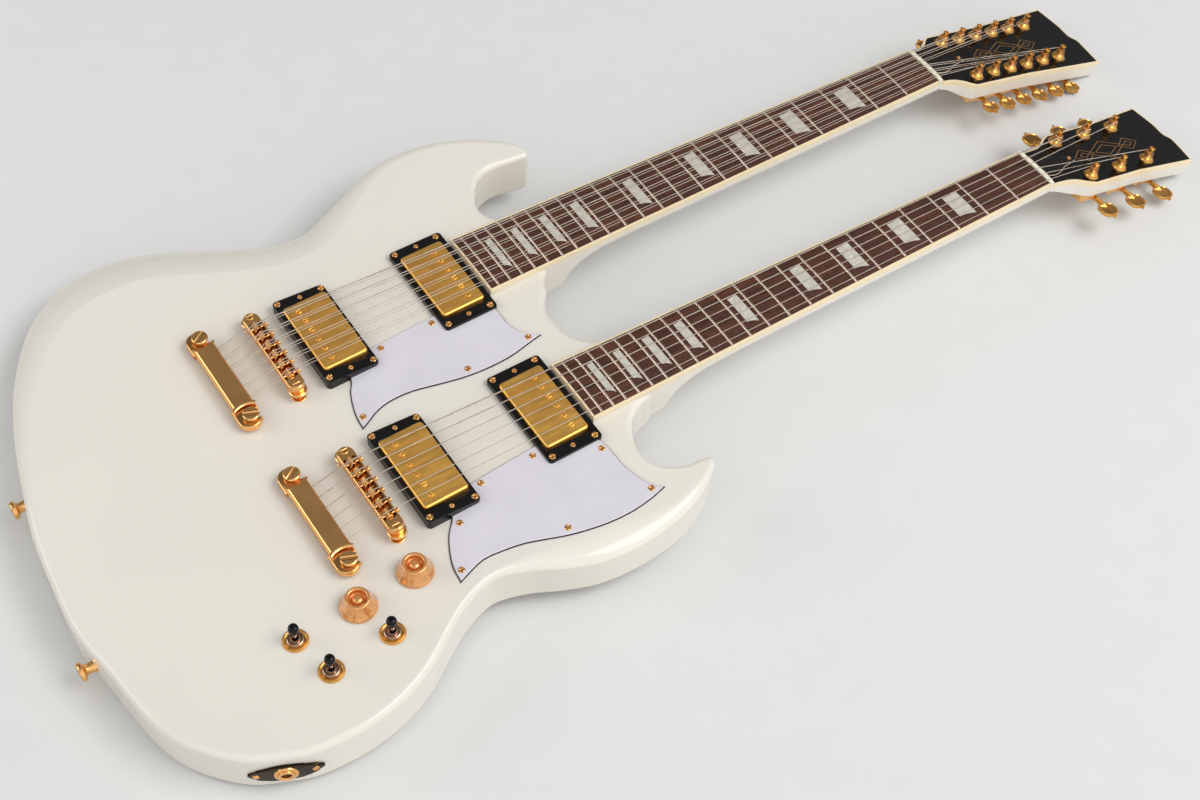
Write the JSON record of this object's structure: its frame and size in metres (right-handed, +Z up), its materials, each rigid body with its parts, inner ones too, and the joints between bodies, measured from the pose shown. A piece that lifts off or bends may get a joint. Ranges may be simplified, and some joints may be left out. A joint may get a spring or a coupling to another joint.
{
  "type": "double-neck electric guitar",
  "caption": "Solid-body double-neck electric guitar with pointed horns, covered pickups, turning machine heads, knobs and switch levers, lying on its back.",
  "frame": {"origin": "centre of the bounding box on the surface that the guitar lies on", "axes": "+X along the fretboards towards the heads, +Y towards the twelve-string neck, +Z up, square to the fretboards' playing faces"},
  "size_m": [1.0498, 0.459, 0.0672],
  "materials": {
    "lacquer": "gloss off-white lacquer",
    "neck_lacquer": "gloss off-white lacquer, black head face",
    "rosewood": "satin open grain, cream binding, steel frets",
    "guard": "gloss, three ply",
    "gold": "polished gold plate",
    "string_steel": "bright wound and plain steel",
    "amber": "clear amber, gloss",
    "chrome": "polished, black plastic tip",
    "black_plastic": "fine matte"
  },
  "bodies": {
    "guitar": {"back_cover": "black_plastic", "body": "lacquer", "bridge_12": "gold", "bridge_6": "gold", "fretboard_12": "rosewood", "fretboard_6": "rosewood", "jack_plate": "gold", "neck_12": "neck_lacquer", "neck_6": "neck_lacquer", "pickguard_12": "guard", "pickguard_6": "guard", "pickup_12_bridge": "gold", "pickup_12_neck": "gold", "pickup_6_bridge": "gold", "pickup_6_neck": "gold", "strings_12": "string_steel", "strings_6": "string_steel", "tailpiece_12": "gold", "tailpiece_6": "gold"},
    "button_12_l1": {"button_12_l1": "gold"},
    "button_12_l2": {"button_12_l2": "gold"},
    "button_12_l3": {"button_12_l3": "gold"},
    "button_12_l4": {"button_12_l4": "gold"},
    "button_12_l5": {"button_12_l5": "gold"},
    "button_12_l6": {"button_12_l6": "gold"},
    "button_12_r1": {"button_12_r1": "gold"},
    "button_12_r2": {"button_12_r2": "gold"},
    "button_12_r3": {"button_12_r3": "gold"},
    "button_12_r4": {"button_12_r4": "gold"},
    "button_12_r5": {"button_12_r5": "gold"},
    "button_12_r6": {"button_12_r6": "gold"},
    "button_6_l1": {"button_6_l1": "gold"},
    "button_6_l2": {"button_6_l2": "gold"},
    "button_6_l3": {"button_6_l3": "gold"},
    "button_6_r1": {"button_6_r1": "gold"},
    "button_6_r2": {"button_6_r2": "gold"},
    "button_6_r3": {"button_6_r3": "gold"},
    "knob_1": {"knob_1": "amber"},
    "knob_2": {"knob_2": "amber"},
    "post_12_l1": {"post_12_l1": "gold"},
    "post_12_l2": {"post_12_l2": "gold"},
    "post_12_l3": {"post_12_l3": "gold"},
    "post_12_l4": {"post_12_l4": "gold"},
    "post_12_l5": {"post_12_l5": "gold"},
    "post_12_l6": {"post_12_l6": "gold"},
    "post_12_r1": {"post_12_r1": "gold"},
    "post_12_r2": {"post_12_r2": "gold"},
    "post_12_r3": {"post_12_r3": "gold"},
    "post_12_r4": {"post_12_r4": "gold"},
    "post_12_r5": {"post_12_r5": "gold"},
    "post_12_r6": {"post_12_r6": "gold"},
    "post_6_l1": {"post_6_l1": "gold"},
    "post_6_l2": {"post_6_l2": "gold"},
    "post_6_l3": {"post_6_l3": "gold"},
    "post_6_r1": {"post_6_r1": "gold"},
    "post_6_r2": {"post_6_r2": "gold"},
    "post_6_r3": {"post_6_r3": "gold"},
    "switch_lever_1": {"switch_lever_1": "chrome"},
    "switch_lever_2": {"switch_lever_2": "chrome"},
    "switch_lever_3": {"switch_lever_3": "chrome"}
  },
  "joints": [
    {"name": "turn_button_12_l1", "type": "hinge", "parent": "guitar", "child": "button_12_l1", "pos_m": [0.37935, 0.09733, 0.02945], "axis": [0, 1, 0], "continuous": true},
    {"name": "turn_button_12_l2", "type": "hinge", "parent": "guitar", "child": "button_12_l2", "pos_m": [0.40079, 0.09733, 0.02451], "axis": [0, 1, 0], "continuous": true},
    {"name": "turn_button_12_l3", "type": "hinge", "parent": "guitar", "child": "button_12_l3", "pos_m": [0.42223, 0.09733, 0.01956], "axis": [0, 1, 0], "continuous": true},
    {"name": "turn_button_12_l4", "type": "hinge", "parent": "guitar", "child": "button_12_l4", "pos_m": [0.44367, 0.09733, 0.01461], "axis": [0, 1, 0], "continuous": true},
    {"name": "turn_button_12_l5", "type": "hinge", "parent": "guitar", "child": "button_12_l5", "pos_m": [0.46511, 0.09733, 0.00966], "axis": [0, 1, 0], "continuous": true},
    {"name": "turn_button_12_l6", "type": "hinge", "parent": "guitar", "child": "button_12_l6", "pos_m": [0.48655, 0.09733, 0.00471], "axis": [0, 1, 0], "continuous": true},
    {"name": "turn_button_12_r1", "type": "hinge", "parent": "guitar", "child": "button_12_r1", "pos_m": [0.37935, 0.03433, 0.02945], "axis": [0, -1, 0], "continuous": true},
    {"name": "turn_button_12_r2", "type": "hinge", "parent": "guitar", "child": "button_12_r2", "pos_m": [0.40079, 0.03433, 0.02451], "axis": [0, -1, 0], "continuous": true},
    {"name": "turn_button_12_r3", "type": "hinge", "parent": "guitar", "child": "button_12_r3", "pos_m": [0.42223, 0.03433, 0.01956], "axis": [0, -1, 0], "continuous": true},
    {"name": "turn_button_12_r4", "type": "hinge", "parent": "guitar", "child": "button_12_r4", "pos_m": [0.44367, 0.03433, 0.01461], "axis": [0, -1, 0], "continuous": true},
    {"name": "turn_button_12_r5", "type": "hinge", "parent": "guitar", "child": "button_12_r5", "pos_m": [0.46511, 0.03433, 0.00966], "axis": [0, -1, 0], "continuous": true},
    {"name": "turn_button_12_r6", "type": "hinge", "parent": "guitar", "child": "button_12_r6", "pos_m": [0.48655, 0.03433, 0.00471], "axis": [0, -1, 0], "continuous": true},
    {"name": "turn_button_6_l1", "type": "hinge", "parent": "guitar", "child": "button_6_l1", "pos_m": [0.38422, -0.04777, 0.02833], "axis": [0, 1, 0], "continuous": true},
    {"name": "turn_button_6_l2", "type": "hinge", "parent": "guitar", "child": "button_6_l2", "pos_m": [0.42051, -0.04777, 0.01995], "axis": [0, 1, 0], "continuous": true},
    {"name": "turn_button_6_l3", "type": "hinge", "parent": "guitar", "child": "button_6_l3", "pos_m": [0.4568, -0.04777, 0.01158], "axis": [0, 1, 0], "continuous": true},
    {"name": "turn_button_6_r1", "type": "hinge", "parent": "guitar", "child": "button_6_r1", "pos_m": [0.38422, -0.10777, 0.02833], "axis": [0, -1, 0], "continuous": true},
    {"name": "turn_button_6_r2", "type": "hinge", "parent": "guitar", "child": "button_6_r2", "pos_m": [0.42051, -0.10777, 0.01995], "axis": [0, -1, 0], "continuous": true},
    {"name": "turn_button_6_r3", "type": "hinge", "parent": "guitar", "child": "button_6_r3", "pos_m": [0.4568, -0.10777, 0.01158], "axis": [0, -1, 0], "continuous": true},
    {"name": "turn_knob_1", "type": "hinge", "parent": "guitar", "child": "knob_1", "pos_m": [-0.30321, -0.14607, 0.04845], "axis": [-0.0407, 0, 0.9992], "range_deg": [-135, 135]},
    {"name": "turn_knob_2", "type": "hinge", "parent": "guitar", "child": "knob_2", "pos_m": [-0.34897, -0.14907, 0.04659], "axis": [-0.0407, 0, 0.9992], "range_deg": [-135, 135]},
    {"name": "turn_post_12_l1", "type": "hinge", "parent": "guitar", "child": "post_12_l1", "pos_m": [0.37499, 0.08983, 0.05058], "axis": [0.225, 0, 0.9744], "continuous": true},
    {"name": "turn_post_12_l2", "type": "hinge", "parent": "guitar", "child": "post_12_l2", "pos_m": [0.39643, 0.08983, 0.04563], "axis": [0.225, 0, 0.9744], "continuous": true},
    {"name": "turn_post_12_l3", "type": "hinge", "parent": "guitar", "child": "post_12_l3", "pos_m": [0.41787, 0.08983, 0.04068], "axis": [0.225, 0, 0.9744], "continuous": true},
    {"name": "turn_post_12_l4", "type": "hinge", "parent": "guitar", "child": "post_12_l4", "pos_m": [0.43931, 0.08983, 0.03573], "axis": [0.225, 0, 0.9744], "continuous": true},
    {"name": "turn_post_12_l5", "type": "hinge", "parent": "guitar", "child": "post_12_l5", "pos_m": [0.46075, 0.08983, 0.03078], "axis": [0.225, 0, 0.9744], "continuous": true},
    {"name": "turn_post_12_l6", "type": "hinge", "parent": "guitar", "child": "post_12_l6", "pos_m": [0.48218, 0.08983, 0.02583], "axis": [0.225, 0, 0.9744], "continuous": true},
    {"name": "turn_post_12_r1", "type": "hinge", "parent": "guitar", "child": "post_12_r1", "pos_m": [0.37499, 0.04183, 0.05058], "axis": [0.225, 0, 0.9744], "continuous": true},
    {"name": "turn_post_12_r2", "type": "hinge", "parent": "guitar", "child": "post_12_r2", "pos_m": [0.39643, 0.04183, 0.04563], "axis": [0.225, 0, 0.9744], "continuous": true},
    {"name": "turn_post_12_r3", "type": "hinge", "parent": "guitar", "child": "post_12_r3", "pos_m": [0.41787, 0.04183, 0.04068], "axis": [0.225, 0, 0.9744], "continuous": true},
    {"name": "turn_post_12_r4", "type": "hinge", "parent": "guitar", "child": "post_12_r4", "pos_m": [0.43931, 0.04183, 0.03573], "axis": [0.225, 0, 0.9744], "continuous": true},
    {"name": "turn_post_12_r5", "type": "hinge", "parent": "guitar", "child": "post_12_r5", "pos_m": [0.46075, 0.04183, 0.03078], "axis": [0.225, 0, 0.9744], "continuous": true},
    {"name": "turn_post_12_r6", "type": "hinge", "parent": "guitar", "child": "post_12_r6", "pos_m": [0.48218, 0.04183, 0.02583], "axis": [0.225, 0, 0.9744], "continuous": true},
    {"name": "turn_post_6_l1", "type": "hinge", "parent": "guitar", "child": "post_6_l1", "pos_m": [0.37986, -0.05527, 0.04945], "axis": [0.225, 0, 0.9744], "continuous": true},
    {"name": "turn_post_6_l2", "type": "hinge", "parent": "guitar", "child": "post_6_l2", "pos_m": [0.41615, -0.05527, 0.04108], "axis": [0.225, 0, 0.9744], "continuous": true},
    {"name": "turn_post_6_l3", "type": "hinge", "parent": "guitar", "child": "post_6_l3", "pos_m": [0.45244, -0.05527, 0.0327], "axis": [0.225, 0, 0.9744], "continuous": true},
    {"name": "turn_post_6_r1", "type": "hinge", "parent": "guitar", "child": "post_6_r1", "pos_m": [0.37986, -0.10027, 0.04945], "axis": [0.225, 0, 0.9744], "continuous": true},
    {"name": "turn_post_6_r2", "type": "hinge", "parent": "guitar", "child": "post_6_r2", "pos_m": [0.41615, -0.10027, 0.04108], "axis": [0.225, 0, 0.9744], "continuous": true},
    {"name": "turn_post_6_r3", "type": "hinge", "parent": "guitar", "child": "post_6_r3", "pos_m": [0.45244, -0.10027, 0.0327], "axis": [0.225, 0, 0.9744], "continuous": true},
    {"name": "tilt_switch_lever_1", "type": "hinge", "parent": "guitar", "child": "switch_lever_1", "pos_m": [-0.39696, -0.14931, 0.04764], "axis": [0, 1, 0], "range_deg": [-12, 12]},
    {"name": "tilt_switch_lever_2", "type": "hinge", "parent": "guitar", "child": "switch_lever_2", "pos_m": [-0.38776, -0.18207, 0.04801], "axis": [0, 1, 0], "range_deg": [-12, 12]},
    {"name": "tilt_switch_lever_3", "type": "hinge", "parent": "guitar", "child": "switch_lever_3", "pos_m": [-0.33989, -0.17919, 0.04996], "axis": [0, 1, 0], "range_deg": [-12, 12]}
  ],
  "couplings": [
    {"joint": "turn_post_12_l1", "follows": "turn_button_12_l1", "ratio": 0.071429},
    {"joint": "turn_post_12_l2", "follows": "turn_button_12_l2", "ratio": 0.071429},
    {"joint": "turn_post_12_l3", "follows": "turn_button_12_l3", "ratio": 0.071429},
    {"joint": "turn_post_12_l4", "follows": "turn_button_12_l4", "ratio": 0.071429},
    {"joint": "turn_post_12_l5", "follows": "turn_button_12_l5", "ratio": 0.071429},
    {"joint": "turn_post_12_l6", "follows": "turn_button_12_l6", "ratio": 0.071429},
    {"joint": "turn_post_12_r1", "follows": "turn_button_12_r1", "ratio": -0.071429},
    {"joint": "turn_post_12_r2", "follows": "turn_button_12_r2", "ratio": -0.071429},
    {"joint": "turn_post_12_r3", "follows": "turn_button_12_r3", "ratio": -0.071429},
    {"joint": "turn_post_12_r4", "follows": "turn_button_12_r4", "ratio": -0.071429},
    {"joint": "turn_post_12_r5", "follows": "turn_button_12_r5", "ratio": -0.071429},
    {"joint": "turn_post_12_r6", "follows": "turn_button_12_r6", "ratio": -0.071429},
    {"joint": "turn_post_6_l1", "follows": "turn_button_6_l1", "ratio": 0.071429},
    {"joint": "turn_post_6_l2", "follows": "turn_button_6_l2", "ratio": 0.071429},
    {"joint": "turn_post_6_l3", "follows": "turn_button_6_l3", "ratio": 0.071429},
    {"joint": "turn_post_6_r1", "follows": "turn_button_6_r1", "ratio": -0.071429},
    {"joint": "turn_post_6_r2", "follows": "turn_button_6_r2", "ratio": -0.071429},
    {"joint": "turn_post_6_r3", "follows": "turn_button_6_r3", "ratio": -0.071429}
  ]
}
